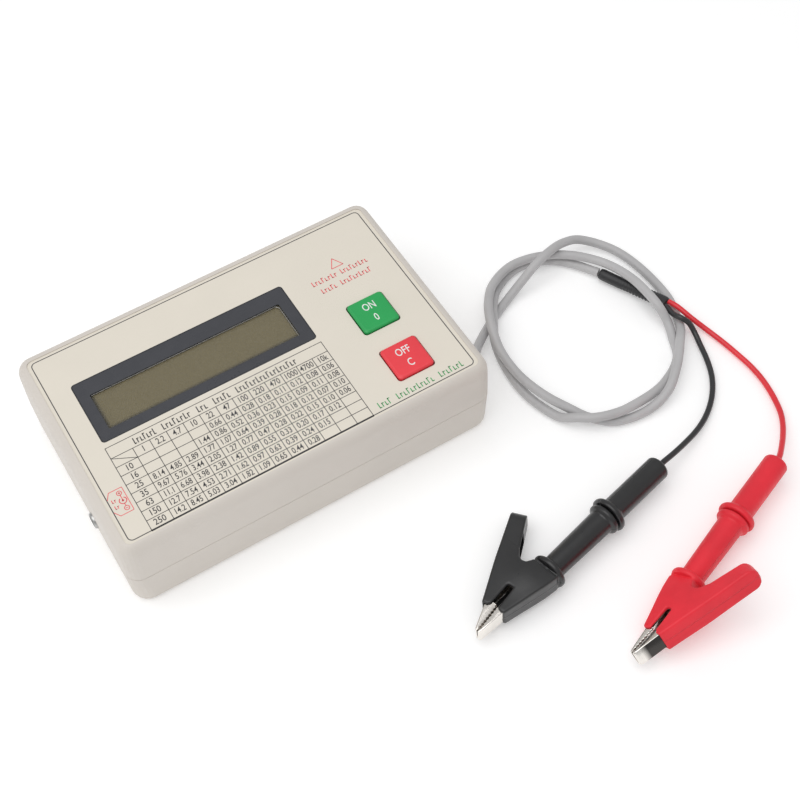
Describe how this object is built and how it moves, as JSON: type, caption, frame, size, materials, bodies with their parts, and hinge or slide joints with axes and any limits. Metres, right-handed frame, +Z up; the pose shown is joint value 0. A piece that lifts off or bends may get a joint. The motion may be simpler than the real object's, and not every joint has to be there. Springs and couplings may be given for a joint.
{
  "type": "lcr meter",
  "caption": "Flat grey plastic meter with a display window and two square keys, on a looped grey test lead that splits into a black and a red clip.",
  "frame": {"origin": "centre of the case's underside", "axes": "+X along the display towards the lead outlet, +Y to the back, +Z up out of the label"},
  "size_m": [0.2112, 0.1781, 0.0327],
  "materials": {
    "case_grey": "fine grained moulded plastic",
    "label_print": "printed film",
    "window": "clear acrylic with a dark printed border",
    "black_frame": "satin black",
    "lcd_olive": "liquid crystal cell, switched off",
    "backlight_white": "light guide",
    "board_green": "solder mask",
    "key_green": "satin",
    "key_red": "satin",
    "black_plastic": "moulded",
    "metal_bright": "nickel plated",
    "steel": "plain",
    "coil_copper": "enamelled copper",
    "cell_blue": "plain sleeve",
    "cable_grey": "soft PVC",
    "sleeve_black": "shrunk sleeving",
    "lead_black": "soft PVC",
    "lead_red": "soft PVC",
    "clip_black": "flexible PVC",
    "clip_red": "flexible PVC"
  },
  "bodies": {
    "meter": {"upper_case": "case_grey", "lower_case": "case_grey", "front_label": "label_print", "display_window": "window", "lcd_bezel": "black_frame", "lcd_glass": "lcd_olive", "lcd_backlight": "backlight_white", "lcd_board": "board_green", "main_board": "board_green", "lcd_header": "black_plastic", "green_switch": "black_plastic", "red_switch": "black_plastic", "microcontroller": "black_plastic", "crystal": "steel", "converter_coil": "coil_copper", "filter_capacitor": "cell_blue", "dc_jack": "black_plastic", "jack_pin": "metal_bright", "cable_grommet": "black_plastic", "battery_holder": "black_plastic", "battery_1": "cell_blue", "battery_2": "cell_blue", "contact_plate_left": "metal_bright", "contact_plate_right": "metal_bright", "contact_spring_1": "metal_bright", "contact_spring_2": "metal_bright", "case_screw_1": "steel", "case_screw_2": "steel", "case_screw_3": "steel", "case_screw_4": "steel", "test_cable": "cable_grey", "splitter_sleeve": "sleeve_black", "black_lead": "lead_black", "red_lead": "lead_red", "black_plug_barrel": "clip_black", "black_plug_pin": "metal_bright", "red_plug_barrel": "clip_red", "red_plug_pin": "metal_bright"},
    "green_key": {"green_key": "key_green"},
    "red_key": {"red_key": "key_red"},
    "battery_door": {"battery_door": "case_grey"},
    "black_clip": {"black_clip_boot": "clip_black", "black_fixed_jaw": "metal_bright", "black_clip_pivot": "steel", "black_clip_spring": "steel"},
    "black_clip_lever": {"black_moving_jaw": "metal_bright", "black_lever_cover": "clip_black"},
    "red_clip": {"red_clip_boot": "clip_red", "red_fixed_jaw": "metal_bright", "red_clip_pivot": "steel", "red_clip_spring": "steel"},
    "red_clip_lever": {"red_moving_jaw": "metal_bright", "red_lever_cover": "clip_red"}
  },
  "joints": [
    {"name": "green_key_press", "type": "slide", "parent": "meter", "child": "green_key", "axis": [0, 0, -1], "range_m": [0, 0.0004], "stiffness_N_per_m": 700, "springref_m": -0.002},
    {"name": "red_key_press", "type": "slide", "parent": "meter", "child": "red_key", "axis": [0, 0, -1], "range_m": [0, 0.0004], "stiffness_N_per_m": 700, "springref_m": -0.002},
    {"name": "battery_door_swing", "type": "hinge", "parent": "meter", "child": "battery_door", "pos_m": [-0.0185, -0.0007, 0.0003], "axis": [-1, 0, 0], "range_deg": [0, 100]},
    {"name": "black_clip_pull", "type": "slide", "parent": "meter", "child": "black_clip", "axis": [-0.9715, -0.2368, 0], "range_m": [0, 0.02]},
    {"name": "black_clip_open", "type": "hinge", "parent": "black_clip", "child": "black_clip_lever", "pos_m": [0.03614, -0.09542, 0.00558], "axis": [0.0227, -0.0931, -0.9954], "range_deg": [0, 25], "stiffness_Nm_per_rad": 0.15, "springref_deg": -28.65},
    {"name": "red_clip_pull", "type": "slide", "parent": "meter", "child": "red_clip", "axis": [-0.9351, -0.3534, -0.0262], "range_m": [0, 0.02]},
    {"name": "red_clip_open", "type": "hinge", "parent": "red_clip", "child": "red_clip_lever", "pos_m": [0.0716, -0.12859, 0.00827], "axis": [-0.2369, 0.5686, 0.7877], "range_deg": [0, 25], "stiffness_Nm_per_rad": 0.15, "springref_deg": -28.65}
  ]
}
